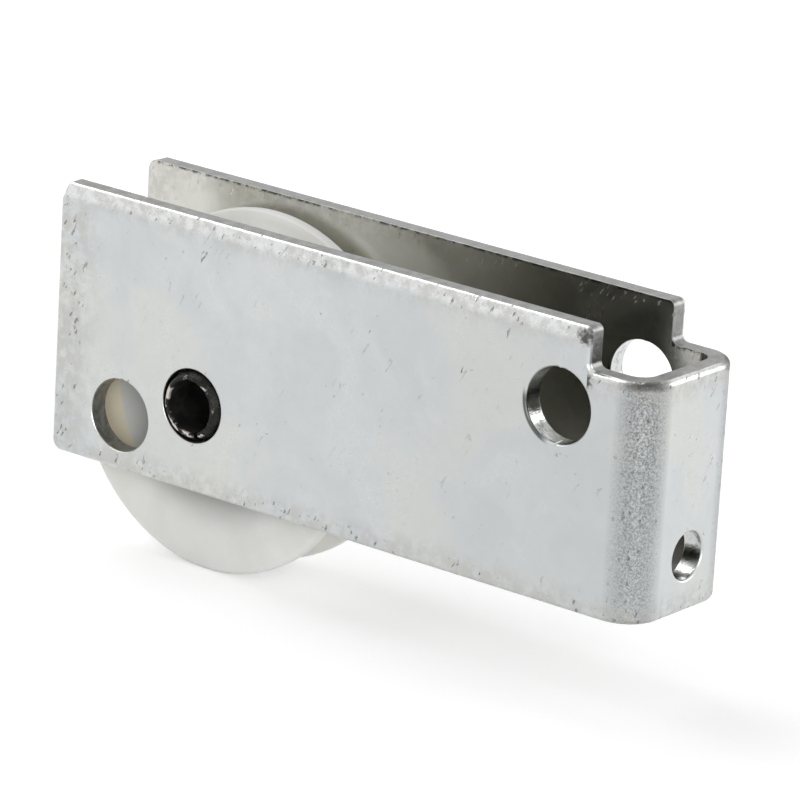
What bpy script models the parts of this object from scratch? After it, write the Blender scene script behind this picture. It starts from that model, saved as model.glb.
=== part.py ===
"""Sliding door roller: a bent steel housing, a slotted spring pin and a grooved nylon wheel on a ball bearing.

Metres, +Z up. The origin is the middle of the pivot hole's axis, midway between the two side plates.
+X points to the web that joins the plates, and the wheel turns about an axis along Y near the open end.
"""

import math

import bmesh
import bpy
from mathutils import Matrix, Vector

OBJECT_NAME = "sliding_door_roller"

# Housing: one strip of sheet steel bent into a U
HOUSING_LENGTH = 0.0780  # open end to the web's outer face
HOUSING_HEIGHT = 0.0299
HOUSING_WIDTH = 0.0165  # over the outer faces of the side plates
SHEET_THICKNESS = 0.0023
BEND_RADIUS = 0.0042  # outer side of both bends
END_CORNER_RADIUS = 0.0012  # free corners at the open end
NOTCH_LENGTH = 0.0077  # the web's outer face back to the step
NOTCH_DEPTH = 0.0045
NOTCH_FILLET = 0.0008
STEP_CORNER_RADIUS = 0.0007
EDGE_BREAK = 0.00025  # rolled edge of the stamped sheet

# Holes of the housing
PLATE_HOLE_DIAMETER = 0.0079
PIVOT_FROM_WEB = 0.0111
PIVOT_HEIGHT = 0.0210  # above the lower edge
AXLE_FROM_END = 0.0194
AXLE_HEIGHT = 0.00945
SPARE_HOLE_FROM_END = 0.0095
SPARE_HOLE_HEIGHT = 0.0060
ADJUSTER_HOLE_DIAMETER = 0.0051
ADJUSTER_HOLE_HEIGHT = 0.0060
ADJUSTER_HOLE_OFFSET = 0.0004  # towards the rear plate

# Slotted spring pin
PIN_WALL = 0.00105
PIN_SLIT = 0.0008
PIN_SLIT_ANGLE = math.radians(-72)  # from +X towards +Z, seen from the front
PIN_CHAMFER_LENGTH = 0.0010
PIN_CHAMFER_DEPTH = 0.00065
PIN_END_PROUD = 0.0004  # beyond the plates' outer faces

# Nylon tyre
TYRE_DIAMETER = 0.0381
TYRE_WIDTH = 0.0095
TYRE_EDGE_RADIUS = 0.0005
TREAD_GROOVE_RADIUS = 0.0032
TREAD_GROOVE_DEPTH = 0.0030
TYRE_LIP_HEIGHT = 0.0006  # reach of each side's retaining lip over the outer race

# Ball bearing
BEARING_DIAMETER = 0.0190
BEARING_WIDTH = 0.0060
BALL_COUNT = 7
BALL_DIAMETER = 0.003175
RACEWAY_DEPTH = 0.00043  # of both raceways, below the lands beside them
RACE_CHAMFER = 0.0003
SHIELD_SEAT_DEPTH = 0.0005  # radial depth of the recess for a shield
SHIELD_SEAT_WIDTH = 0.0007  # from the race's side face
SHIELD_THICKNESS = 0.0003
SHIELD_RIM_WIDTH = 0.0005
SHIELD_RIM_WALL = 0.0004

# Riveted ribbon cage
CAGE_SHEET = 0.0003
CAGE_WIDTH = 0.0015
RIVET_SHANK_DIAMETER = 0.0006
RIVET_HEAD_DIAMETER = 0.0010
RIVET_HEAD_HEIGHT = 0.0002

# Sleeves between the inner race and the plates
SPACER_DIAMETER = 0.0105

# Clearances
SEAT_CLEARANCE = 0.00005  # radial, between pieces that sit in one another
BORE_CLEARANCE = 0.0001  # radial, spring pin to inner race
FACE_CLEARANCE = 0.00005  # between faces that rest on each other
BALL_CLEARANCE = 0.00007  # ball to raceway
POCKET_CLEARANCE = 0.0001  # ball to cage
SHIELD_CLEARANCE = 0.0002  # shield to inner race
CUT_MARGIN = 0.002  # cutters run past the faces they cut

# Facets of round shapes
ARC_STEPS = 4
BEND_STEPS = 8
HOLE_STEPS = 32
TURN_STEPS = 36
TYRE_STEPS = 48
CAGE_STEPS = 21
RIVET_STEPS = 8
RACEWAY_STEPS = 7
GROOVE_STEPS = 10
BALL_SEGMENTS = 14
BALL_RINGS = 8

# Places that follow from the sizes above
OPEN_END_X = PIVOT_FROM_WEB - HOUSING_LENGTH
WEB_X = PIVOT_FROM_WEB
STEP_X = WEB_X - NOTCH_LENGTH
LOWER_EDGE_Z = -PIVOT_HEIGHT
UPPER_EDGE_Z = LOWER_EDGE_Z + HOUSING_HEIGHT
NOTCH_Z = UPPER_EDGE_Z - NOTCH_DEPTH
PLATE_OUTER_Y = HOUSING_WIDTH / 2
PLATE_INNER_Y = PLATE_OUTER_Y - SHEET_THICKNESS
AXLE_CENTRE = Vector((OPEN_END_X + AXLE_FROM_END, 0, LOWER_EDGE_Z + AXLE_HEIGHT))
SPARE_CENTRE = Vector((OPEN_END_X + SPARE_HOLE_FROM_END, 0, LOWER_EDGE_Z + SPARE_HOLE_HEIGHT))
PIVOT_CENTRE = Vector((0, 0, 0))
PIN_RADIUS = PLATE_HOLE_DIAMETER / 2 - SEAT_CLEARANCE
BORE_RADIUS = PIN_RADIUS + BORE_CLEARANCE
BALL_RADIUS = BALL_DIAMETER / 2
PITCH_RADIUS = (BORE_RADIUS + BEARING_DIAMETER / 2) / 2
RACEWAY_RADIUS = BALL_RADIUS + BALL_CLEARANCE
INNER_LAND_RADIUS = PITCH_RADIUS - RACEWAY_RADIUS + RACEWAY_DEPTH
OUTER_LAND_RADIUS = PITCH_RADIUS + RACEWAY_RADIUS - RACEWAY_DEPTH
POCKET_RADIUS = BALL_RADIUS + POCKET_CLEARANCE

# Turns a shape modelled about local Z so that its axis lies along +Y
TURNED_TO_Y = Matrix.Rotation(math.radians(-90), 4, "X")


def clear_scene():
    for obj in list(bpy.data.objects):
        bpy.data.objects.remove(obj, do_unlink=True)


def new_collection(name, hidden=False):
    collection = bpy.data.collections.new(name)
    bpy.context.scene.collection.children.link(collection)
    collection.hide_render = hidden
    return collection


def new_material(name, colour, roughness, metallic):
    material = bpy.data.materials.new(name)
    material.use_nodes = True
    shader = material.node_tree.nodes["Principled BSDF"]
    shader.inputs["Base Color"].default_value = (*colour, 1)
    shader.inputs["Roughness"].default_value = roughness
    shader.inputs["Metallic"].default_value = metallic
    return material


def arc(centre, radius, start_deg, end_deg, steps):
    """Points on an arc, both ends included."""
    points = []
    for step in range(steps + 1):
        angle = math.radians(start_deg + (end_deg - start_deg) * step / steps)
        points.append((centre[0] + radius * math.cos(angle), centre[1] + radius * math.sin(angle)))
    return points


def rounded_outline(corners, steps):
    """A closed outline from (x, y, radius) corners, with an arc at each corner that has a radius."""
    points = []
    for index, (x, y, radius) in enumerate(corners):
        corner = Vector((x, y))
        if radius == 0:
            points.append(corner)
            continue
        before = (Vector(corners[index - 1][:2]) - corner).normalized()
        after = (Vector(corners[(index + 1) % len(corners)][:2]) - corner).normalized()
        half_angle = before.angle(after) / 2
        centre = corner + (before + after).normalized() * (radius / math.sin(half_angle))
        first = corner + before * (radius / math.tan(half_angle)) - centre
        last = corner + after * (radius / math.tan(half_angle)) - centre
        turn = first.angle_signed(last)
        for step in range(steps + 1):
            points.append(centre + Matrix.Rotation(-turn * step / steps, 2) @ first)
    return points


def link(name, mesh, collection, matrix, material=None):
    obj = bpy.data.objects.new(name, mesh)
    obj.matrix_world = matrix
    collection.objects.link(obj)
    if material:
        mesh.materials.append(material)
    else:
        obj.hide_render = True
        obj.display_type = "WIRE"
    return obj


def extruded(name, outline, thickness, matrix, collection, material=None):
    """A flat outline given a thickness along its local Z, as a closed mesh object."""
    curve = bpy.data.curves.new(name, "CURVE")
    curve.dimensions = "2D"
    curve.fill_mode = "BOTH"
    curve.extrude = thickness / 2
    spline = curve.splines.new("POLY")
    spline.points.add(len(outline) - 1)
    for point, place in zip(spline.points, outline):
        point.co = (place[0], place[1], 0, 1)
    spline.use_cyclic_u = True
    drawn = bpy.data.objects.new(name + "_outline", curve)
    collection.objects.link(drawn)
    graph = bpy.context.evaluated_depsgraph_get()
    mesh = bpy.data.meshes.new_from_object(drawn.evaluated_get(graph))
    mesh.name = name
    bpy.data.objects.remove(drawn, do_unlink=True)
    shape = bmesh.new()
    shape.from_mesh(mesh)
    bmesh.ops.remove_doubles(shape, verts=shape.verts, dist=1e-7)
    bmesh.ops.recalc_face_normals(shape, faces=shape.faces)
    shape.to_mesh(mesh)
    shape.free()
    return link(name, mesh, collection, matrix, material)


def rectangle(inner, outer, low, high):
    """The profile of a plain turned ring."""
    return [(outer, high), (outer, low), (inner, low), (inner, high)]


def smooth(mesh, limit_deg=35):
    mesh.shade_smooth()
    mesh.set_sharp_from_angle(angle=math.radians(limit_deg))


def turned(name, profile, steps, matrix, collection, material=None):
    """A closed profile of (radius, height) points, turned about local Z. The outer side runs top to bottom."""
    mesh = bpy.data.meshes.new(name)
    vertices = [(radius, 0, height) for radius, height in profile]
    edges = [(index, (index + 1) % len(profile)) for index in range(len(profile))]
    mesh.from_pydata(vertices, edges, [])
    obj = link(name, mesh, collection, matrix, material)
    screw = obj.modifiers.new("Turn", "SCREW")
    screw.axis = "Z"
    screw.steps = steps
    screw.render_steps = steps
    screw.use_merge_vertices = True
    screw.merge_threshold = 1e-6
    screw.use_smooth_shade = True
    return obj


def cylinder(name, radius, length, steps, matrix, collection):
    """A round cutter along its local Z, centred."""
    mesh = bpy.data.meshes.new(name)
    shape = bmesh.new()
    bmesh.ops.create_cone(
        shape, cap_ends=True, segments=steps, radius1=radius, radius2=radius, depth=length
    )
    shape.to_mesh(mesh)
    shape.free()
    return link(name, mesh, collection, matrix)


def sphere(name, radius, segments, rings, matrix, collection, material=None):
    mesh = bpy.data.meshes.new(name)
    shape = bmesh.new()
    bmesh.ops.create_uvsphere(shape, u_segments=segments, v_segments=rings, radius=radius)
    shape.to_mesh(mesh)
    shape.free()
    mesh.shade_smooth()
    return link(name, mesh, collection, matrix, material)


def combine(obj, other, operation):
    boolean = obj.modifiers.new(operation.title(), "BOOLEAN")
    boolean.operation = operation
    boolean.solver = "EXACT"
    boolean.object = other


def make_housing(parts, cutters, steel):
    section = [
        (OPEN_END_X, -PLATE_OUTER_Y, 0),
        (WEB_X, -PLATE_OUTER_Y, BEND_RADIUS),
        (WEB_X, PLATE_OUTER_Y, BEND_RADIUS),
        (OPEN_END_X, PLATE_OUTER_Y, 0),
        (OPEN_END_X, PLATE_INNER_Y, 0),
        (WEB_X - SHEET_THICKNESS, PLATE_INNER_Y, BEND_RADIUS - SHEET_THICKNESS),
        (WEB_X - SHEET_THICKNESS, -PLATE_INNER_Y, BEND_RADIUS - SHEET_THICKNESS),
        (OPEN_END_X, -PLATE_INNER_Y, 0),
    ]
    mid_height = (LOWER_EDGE_Z + UPPER_EDGE_Z) / 2
    housing = extruded(
        "housing",
        rounded_outline(section, BEND_STEPS),
        HOUSING_HEIGHT + 2 * CUT_MARGIN,
        Matrix.Translation((0, 0, mid_height)),
        parts,
        steel,
    )
    side_view = [
        (OPEN_END_X, LOWER_EDGE_Z, END_CORNER_RADIUS),
        (WEB_X + CUT_MARGIN, LOWER_EDGE_Z, 0),
        (WEB_X + CUT_MARGIN, NOTCH_Z, 0),
        (STEP_X, NOTCH_Z, NOTCH_FILLET),
        (STEP_X, UPPER_EDGE_Z, STEP_CORNER_RADIUS),
        (OPEN_END_X, UPPER_EDGE_Z, END_CORNER_RADIUS),
    ]
    outline = extruded(
        "housing_side_view",
        rounded_outline(side_view, ARC_STEPS),
        HOUSING_WIDTH + 2 * CUT_MARGIN,
        Matrix.Rotation(math.radians(90), 4, "X"),
        cutters,
    )
    combine(housing, outline, "INTERSECT")
    for name, centre in (("pivot", PIVOT_CENTRE), ("axle", AXLE_CENTRE), ("spare", SPARE_CENTRE)):
        hole = cylinder(
            name + "_hole_cutter",
            PLATE_HOLE_DIAMETER / 2,
            HOUSING_WIDTH + 2 * CUT_MARGIN,
            HOLE_STEPS,
            Matrix.Translation(centre) @ TURNED_TO_Y,
            cutters,
        )
        combine(housing, hole, "DIFFERENCE")
    hole = cylinder(
        "adjuster_hole_cutter",
        ADJUSTER_HOLE_DIAMETER / 2,
        SHEET_THICKNESS + 2 * CUT_MARGIN,
        HOLE_STEPS,
        Matrix.Translation(
            (WEB_X - SHEET_THICKNESS / 2, ADJUSTER_HOLE_OFFSET, LOWER_EDGE_Z + ADJUSTER_HOLE_HEIGHT)
        )
        @ Matrix.Rotation(math.radians(90), 4, "Y"),
        cutters,
    )
    combine(housing, hole, "DIFFERENCE")
    edges = housing.modifiers.new("Edge break", "BEVEL")
    edges.width = EDGE_BREAK
    edges.segments = 1
    edges.limit_method = "ANGLE"
    edges.angle_limit = math.radians(40)
    edges.use_clamp_overlap = True
    smooth(housing.data)


def make_spring_pin(parts, cutters, black_steel, axle):
    half_length = PLATE_OUTER_Y + PIN_END_PROUD
    bore = PIN_RADIUS - PIN_WALL
    nose = PIN_RADIUS - PIN_CHAMFER_DEPTH
    shoulder = half_length - PIN_CHAMFER_LENGTH
    profile = [
        (nose, half_length),
        (PIN_RADIUS, shoulder),
        (PIN_RADIUS, -shoulder),
        (nose, -half_length),
        (bore, -half_length),
        (bore, half_length),
    ]
    pin = turned("axle_spring_pin", profile, HOLE_STEPS, axle, parts, black_steel)
    slit = [
        (0, -PIN_SLIT / 2),
        (PIN_RADIUS + CUT_MARGIN, -PIN_SLIT / 2),
        (PIN_RADIUS + CUT_MARGIN, PIN_SLIT / 2),
        (0, PIN_SLIT / 2),
    ]
    towards_slit = Matrix.Rotation(-PIN_SLIT_ANGLE, 4, "Z")
    cutter = extruded(
        "pin_slit_cutter", slit, 2 * (half_length + CUT_MARGIN), axle @ towards_slit, cutters
    )
    combine(pin, cutter, "DIFFERENCE")


def make_tyre(parts, nylon, axle):
    radius = TYRE_DIAMETER / 2
    half_width = TYRE_WIDTH / 2
    edge = TYRE_EDGE_RADIUS
    groove_centre = radius - TREAD_GROOVE_DEPTH + TREAD_GROOVE_RADIUS
    groove_half_deg = math.degrees(math.acos((groove_centre - radius) / TREAD_GROOVE_RADIUS))
    seat_radius = BEARING_DIAMETER / 2 + SEAT_CLEARANCE
    seat_half = BEARING_WIDTH / 2 + FACE_CLEARANCE
    lip_radius = seat_radius - TYRE_LIP_HEIGHT
    upper_half = [
        (seat_radius, seat_half),
        (lip_radius, seat_half),
        (lip_radius, half_width),
        *arc((radius - edge, half_width - edge), edge, 90, 0, ARC_STEPS),
    ]
    groove = arc(
        (groove_centre, 0), TREAD_GROOVE_RADIUS, 180 - groove_half_deg, 180 + groove_half_deg, GROOVE_STEPS
    )
    lower_half = [(place, -height) for place, height in reversed(upper_half)]
    turned("nylon_tyre", upper_half + groove + lower_half, TYRE_STEPS, axle, parts, nylon)


def raceway(side, land_radius):
    """Half the angle of a raceway's arc, where it meets the land. side is 1 on the outer race, -1 on the inner."""
    reach = side * (land_radius - PITCH_RADIUS)
    return math.degrees(math.acos(reach / RACEWAY_RADIUS))


def make_races(parts, bearing_steel, axle):
    half_width = BEARING_WIDTH / 2
    outer = BEARING_DIAMETER / 2
    seat = OUTER_LAND_RADIUS + SHIELD_SEAT_DEPTH
    seat_face = half_width - SHIELD_SEAT_WIDTH
    half_deg = raceway(1, OUTER_LAND_RADIUS)
    groove = arc((PITCH_RADIUS, 0), RACEWAY_RADIUS, -half_deg, half_deg, RACEWAY_STEPS)
    profile = [
        (outer - RACE_CHAMFER, half_width),
        (outer, half_width - RACE_CHAMFER),
        (outer, -half_width + RACE_CHAMFER),
        (outer - RACE_CHAMFER, -half_width),
        (seat, -half_width),
        (seat, -seat_face),
        (OUTER_LAND_RADIUS, -seat_face),
        *groove,
        (OUTER_LAND_RADIUS, seat_face),
        (seat, seat_face),
        (seat, half_width),
    ]
    turned("bearing_outer_race", profile, TURN_STEPS, axle, parts, bearing_steel)

    half_deg = raceway(-1, INNER_LAND_RADIUS)
    groove = arc((PITCH_RADIUS, 0), RACEWAY_RADIUS, 180 - half_deg, 180 + half_deg, RACEWAY_STEPS)
    profile = [
        (INNER_LAND_RADIUS, half_width),
        *groove,
        (INNER_LAND_RADIUS, -half_width),
        (BORE_RADIUS + RACE_CHAMFER, -half_width),
        (BORE_RADIUS, -half_width + RACE_CHAMFER),
        (BORE_RADIUS, half_width - RACE_CHAMFER),
        (BORE_RADIUS + RACE_CHAMFER, half_width),
    ]
    turned("bearing_inner_race", profile, TURN_STEPS, axle, parts, bearing_steel)


def around_axle(axle, index, shift=0.0):
    """The place of one ball, or of one rivet with a shift of half a step, on the pitch circle."""
    angle = 2 * math.pi * (index + shift) / BALL_COUNT
    return axle @ Matrix.Translation((PITCH_RADIUS * math.cos(angle), PITCH_RADIUS * math.sin(angle), 0))


def make_balls(parts, ball_steel, axle):
    for index in range(BALL_COUNT):
        place = around_axle(axle, index)
        sphere(f"ball_{index + 1}", BALL_RADIUS, BALL_SEGMENTS, BALL_RINGS, place, parts, ball_steel)


def make_cage_half(name, side, parts, cutters, cage_steel, axle):
    """A flat ring with a domed pocket over each ball. side is -1 for the front half and 1 for the rear half."""
    inner = PITCH_RADIUS - CAGE_WIDTH / 2
    outer = PITCH_RADIUS + CAGE_WIDTH / 2
    dome_radius = POCKET_RADIUS + CAGE_SHEET
    turn = axle if side > 0 else axle @ Matrix.Rotation(math.pi, 4, "X")
    low = FACE_CLEARANCE / 2
    high = low + CAGE_SHEET
    wide_ring = rectangle(inner - CUT_MARGIN, outer + CUT_MARGIN, low - CUT_MARGIN, high)
    half = turned(name, wide_ring, CAGE_STEPS, turn, parts, cage_steel)
    for index in range(BALL_COUNT):
        place = around_axle(turn, index)
        dome = sphere(f"{name}_dome_{index + 1}", dome_radius, BALL_SEGMENTS, BALL_RINGS, place, cutters)
        combine(half, dome, "UNION")
    for index in range(BALL_COUNT):
        place = around_axle(turn, index)
        pocket = sphere(f"{name}_pocket_{index + 1}", POCKET_RADIUS, BALL_SEGMENTS, BALL_RINGS, place, cutters)
        combine(half, pocket, "DIFFERENCE")
        hole = cylinder(
            f"{name}_rivet_hole_{index + 1}",
            RIVET_SHANK_DIAMETER / 2 + SEAT_CLEARANCE,
            2 * (high + CUT_MARGIN),
            RIVET_STEPS,
            around_axle(turn, index, 0.5),
            cutters,
        )
        combine(half, hole, "DIFFERENCE")
    band_shape = rectangle(inner, outer, low, dome_radius + CUT_MARGIN)
    band = turned(name + "_band", band_shape, CAGE_STEPS, turn, cutters)
    combine(half, band, "INTERSECT")


def make_cage_rivets(parts, cage_steel, axle):
    under_head = FACE_CLEARANCE / 2 + CAGE_SHEET + FACE_CLEARANCE
    top = under_head + RIVET_HEAD_HEIGHT
    shank = RIVET_SHANK_DIAMETER / 2
    head = RIVET_HEAD_DIAMETER / 2
    profile = [
        (0, top),
        (shank, top),
        (head, under_head),
        (shank, under_head),
        (shank, -under_head),
        (head, -under_head),
        (shank, -top),
        (0, -top),
    ]
    for index in range(BALL_COUNT):
        place = around_axle(axle, index, 0.5)
        turned(f"cage_rivet_{index + 1}", profile, RIVET_STEPS, place, parts, cage_steel)


def make_shield(name, side, parts, shield_steel, axle):
    """A thin disc whose rolled rim seats in the outer race and whose bore clears the inner race."""
    turn = axle if side > 0 else axle @ Matrix.Rotation(math.pi, 4, "X")
    face = BEARING_WIDTH / 2 - SHIELD_SEAT_WIDTH + FACE_CLEARANCE
    outer = OUTER_LAND_RADIUS + SHIELD_SEAT_DEPTH - SEAT_CLEARANCE
    inner = INNER_LAND_RADIUS + SHIELD_CLEARANCE
    profile = [
        (outer, face + SHIELD_RIM_WIDTH),
        (outer, face),
        (inner, face),
        (inner, face + SHIELD_THICKNESS),
        (outer - SHIELD_RIM_WALL, face + SHIELD_THICKNESS),
        (outer - SHIELD_RIM_WALL, face + SHIELD_RIM_WIDTH),
    ]
    turned(name, profile, TURN_STEPS, turn, parts, shield_steel)


def make_spacer(name, side, parts, spacer_steel, axle):
    turn = axle if side > 0 else axle @ Matrix.Rotation(math.pi, 4, "X")
    near = BEARING_WIDTH / 2 + FACE_CLEARANCE
    far = PLATE_INNER_Y - FACE_CLEARANCE
    outer = SPACER_DIAMETER / 2
    bore = PIN_RADIUS + SEAT_CLEARANCE
    turned(name, rectangle(bore, outer, near, far), HOLE_STEPS, turn, parts, spacer_steel)


def main():
    clear_scene()
    parts = new_collection(OBJECT_NAME)
    cutters = new_collection("cutters", hidden=True)
    axle = Matrix.Translation(AXLE_CENTRE) @ TURNED_TO_Y

    zinc_plate = new_material("zinc_plated_steel", (0.56, 0.57, 0.57), 0.34, 1.0)
    black_steel = new_material("black_oxide_steel", (0.02, 0.02, 0.021), 0.35, 0.8)
    nylon = new_material("white_nylon", (0.80, 0.80, 0.77), 0.45, 0.0)
    bearing_steel = new_material("bearing_steel", (0.50, 0.51, 0.52), 0.18, 1.0)
    ball_steel = new_material("polished_ball_steel", (0.62, 0.63, 0.64), 0.06, 1.0)
    cage_steel = new_material("cage_steel", (0.45, 0.44, 0.42), 0.32, 1.0)
    shield_steel = new_material("shield_steel", (0.42, 0.43, 0.44), 0.28, 1.0)
    spacer_steel = new_material("spacer_steel", (0.50, 0.50, 0.49), 0.30, 1.0)

    make_housing(parts, cutters, zinc_plate)
    make_spring_pin(parts, cutters, black_steel, axle)
    make_tyre(parts, nylon, axle)
    make_races(parts, bearing_steel, axle)
    make_balls(parts, ball_steel, axle)
    make_cage_rivets(parts, cage_steel, axle)
    for end, side in (("front", -1), ("rear", 1)):
        make_cage_half(f"cage_{end}_half", side, parts, cutters, cage_steel, axle)
        make_shield(f"shield_{end}", side, parts, shield_steel, axle)
        make_spacer(f"spacer_{end}", side, parts, spacer_steel, axle)


main()
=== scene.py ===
import math
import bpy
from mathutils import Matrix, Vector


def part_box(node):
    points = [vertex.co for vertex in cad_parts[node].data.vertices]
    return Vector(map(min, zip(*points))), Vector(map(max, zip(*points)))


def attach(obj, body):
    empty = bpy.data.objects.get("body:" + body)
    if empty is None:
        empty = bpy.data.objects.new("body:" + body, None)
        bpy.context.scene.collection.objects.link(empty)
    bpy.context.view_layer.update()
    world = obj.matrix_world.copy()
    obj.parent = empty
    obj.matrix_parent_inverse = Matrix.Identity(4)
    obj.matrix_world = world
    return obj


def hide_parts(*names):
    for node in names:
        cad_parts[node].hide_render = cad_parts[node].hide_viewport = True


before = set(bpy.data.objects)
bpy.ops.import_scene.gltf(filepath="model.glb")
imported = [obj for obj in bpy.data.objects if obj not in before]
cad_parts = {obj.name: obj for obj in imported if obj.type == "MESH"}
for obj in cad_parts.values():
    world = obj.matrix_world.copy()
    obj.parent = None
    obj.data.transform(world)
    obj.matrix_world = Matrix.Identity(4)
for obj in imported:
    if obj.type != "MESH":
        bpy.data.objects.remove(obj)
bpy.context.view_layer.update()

from types import SimpleNamespace

import bmesh
import bpy
from mathutils import Matrix, Vector
from mathutils import noise as noise_field

# Sizes of the housing, in metres. Its overall box comes from the frame
SHEET_THICKNESS = 0.0023
BEND_RADIUS = 0.0042
END_CORNER_RADIUS = 0.0012
NOTCH_LENGTH = 0.0077
NOTCH_DEPTH = 0.0045
NOTCH_FILLET = 0.0008
STEP_CORNER_RADIUS = 0.0007
PLATE_HOLE_DIAMETER = 0.0079
SPARE_HOLE_FROM_END = 0.0095
SPARE_HOLE_HEIGHT = 0.0060
ADJUSTER_HOLE_DIAMETER = 0.0051
ADJUSTER_HOLE_HEIGHT = 0.0060
ADJUSTER_HOLE_OFFSET = 0.0004
ROLLED_EDGE = 0.0006  # outer edges of the blank, drawn round by the punch
TOP_ROLL = 0.0017  # how far that reaches down from the long upper edges
TOP_ROLL_FADE = 0.0033
HOLE_FLARE = 0.00008  # the pivot holes open this much towards the outer faces
HOLE_ROLL_SHARE = 0.45  # the other edges' rounding, as a share of the rolled edge
ADJUSTER_ROLL_SHARE = 0.42
INNER_EDGE_SHARE = 0.14

# Sizes of the spring pin
PIN_WALL = 0.00105
PIN_SLIT = 0.0008
PIN_SLIT_ANGLE = math.radians(-72)
PIN_CHAMFER_LENGTH = 0.0010
PIN_CHAMFER_DEPTH = 0.00065
PIN_EDGE_ROUND = 0.00012
PIN_CROP_UNEVEN = 0.00007  # how far the cropped ends wander

# Sizes of the wheel and its bearing
TYRE_EDGE_RADIUS = 0.0005
TREAD_GROOVE_RADIUS = 0.0032
TREAD_GROOVE_DEPTH = 0.0030
TYRE_LIP_HEIGHT = 0.0006
TYRE_LIP_EDGE = 0.0001
TYRE_MOUTH_EDGE = 0.0003
GROOVE_EDGE_RADIUS = 0.0003
BALL_CLEARANCE = 0.00007
RACEWAY_DEPTH = 0.00043
RACE_CORNER = 0.0003
RACE_LAND_EDGE = 0.0001
SHIELD_SEAT_DEPTH = 0.0005
SHIELD_SEAT_WIDTH = 0.0007
SHIELD_THICKNESS = 0.0003
SHIELD_RIM_WALL = 0.0004
SHIELD_RIM_EDGE = 0.0001
SHIELD_BORE_EDGE = 0.00008
SHIELD_BORE_GAP = 0.0002
SPACER_EDGE = 0.0002
RIVET_SHANK_DIAMETER = 0.0006
RIVET_HEAD_HEIGHT = 0.0002
RIVET_DOME_ANGLES = (0, 25, 50, 70)
SEAT_CLEARANCE = 0.00005

# Facets of round shapes
CORNER_STEPS = 10
BEND_STEPS = 24
HOLE_STEPS = 96
TURN_STEPS = 96
TYRE_STEPS = 160
SMALL_TURN_STEPS = 24
GROOVE_STEPS = 32
GROOVE_TRIM = 3  # facets left out at each end of the tread groove, where its edge is rounded
EDGE_STEPS = 4
TYRE_CORNER_STEPS = 6
BALL_SEGMENTS = 32
BALL_RINGS = 20
CROP_WAVES = 1400  # per metre, of the cropped pin ends

# Tolerances, in metres, and the facings that tell flat faces from edges
CUT_MARGIN = 0.002
TOUCHING = 1e-5
SLICE_GAP = 1e-7
MERGE_DISTANCE = 1e-8
SHARP_ANGLE = math.radians(35)
OUTER_FACING = 0.15
INNER_FACING = -0.97

# Tones of the surfaces, as linear colours
ZINC_COOL = (0.570, 0.598, 0.608)
ZINC_PALE = (0.618, 0.638, 0.635)
ZINC_WARM = (0.634, 0.642, 0.612)
ZINC_MOTTLE = (0.52, 0.54, 0.54)
# Painted shade that darkens the plates towards the web
ZINC_PAINTED_SHADE_NEAR_WEB = (0.46, 0.48, 0.49)
ZINC_BURNISHED = (0.80, 0.81, 0.81)
# Painted shade on the bends, broken up by their grain
ZINC_PAINTED_BEND_SHADE = (0.16, 0.168, 0.172)
ZINC_PIT = (0.10, 0.105, 0.105)
CHANNEL_YELLOW = (0.63, 0.627, 0.578)
# Painted shade inside the channel
CHANNEL_PAINTED_SHADE = (0.16, 0.158, 0.140)
# Painted shade, darkest low down near the web
CHANNEL_PAINTED_LOW_SHADE = (0.045, 0.042, 0.036)
SOIL = (0.45, 0.43, 0.40)
# Dirt, and painted shade over the bends' rolled edges and round the pivot hole
DIRT_AND_PAINTED_SHADE = (0.075, 0.075, 0.07)
NICK = (0.15, 0.155, 0.15)
SCRATCH = (0.30, 0.31, 0.31)
CUT_DARK = (0.19, 0.192, 0.182)
CUT_PALE = (0.32, 0.327, 0.32)
CUT_DRAG = (0.23, 0.232, 0.22)
PUNCHED_WALL = (0.66, 0.675, 0.665)
OXIDE_BLACK = (0.005, 0.005, 0.005)
OXIDE_BROWN = (0.018, 0.017, 0.014)
BARE_STEEL = (0.60, 0.57, 0.53)
NYLON_DULL = (0.785, 0.787, 0.758)
NYLON_PALE = (0.835, 0.836, 0.810)
NYLON_SPECK = (0.64, 0.63, 0.59)
# Painted shade round the hub
NYLON_PAINTED_HUB_SHADE = (0.31, 0.315, 0.30)
# A painted patch of warm light, fixed to the wheel so that it turns with it
NYLON_PAINTED_WARM_LIGHT = (0.77, 0.71, 0.56)
FLOOR_DULL = (0.88, 0.88, 0.88)
FLOOR_PALE = (0.90, 0.90, 0.90)
BLACK = (0.0, 0.0, 0.0)
WHITE = (1, 1, 1, 1)

# A darker and a lighter tone of each steel in the bearing
GROUND_STEEL = ((0.50, 0.50, 0.49), (0.60, 0.60, 0.59))
BALL_STEEL = ((0.60, 0.60, 0.60), (0.68, 0.68, 0.67))
STRIP_STEEL = ((0.42, 0.42, 0.40), (0.54, 0.53, 0.51))
SHIELD_STEEL = ((0.50, 0.51, 0.51), (0.62, 0.62, 0.61))
SPACER_STEEL = ((0.46, 0.46, 0.45), (0.56, 0.56, 0.54))

# Depths of the marks in the surfaces, in metres
CLOUD_DEPTH = 0.00010
GRAIN_DEPTH = 0.000012
DIMPLE_DEPTH = 0.00009
PEEL_DEPTH = 0.00001
NICK_DEPTH = 0.00010
SCRATCH_DEPTH = 0.00002
DRAG_DEPTH = 0.00003
STAIN_DEPTH = 0.00008
CRUMPLE_DEPTH = 0.00016
NYLON_WAVE_DEPTH = 0.00004
STRIP_GRAIN_DEPTH = 0.000006
GROUND_RING_DEPTH = 0.000004
POLISHED_RING_DEPTH = 0.000001
TURNED_RING_DEPTH = 0.00001

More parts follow.
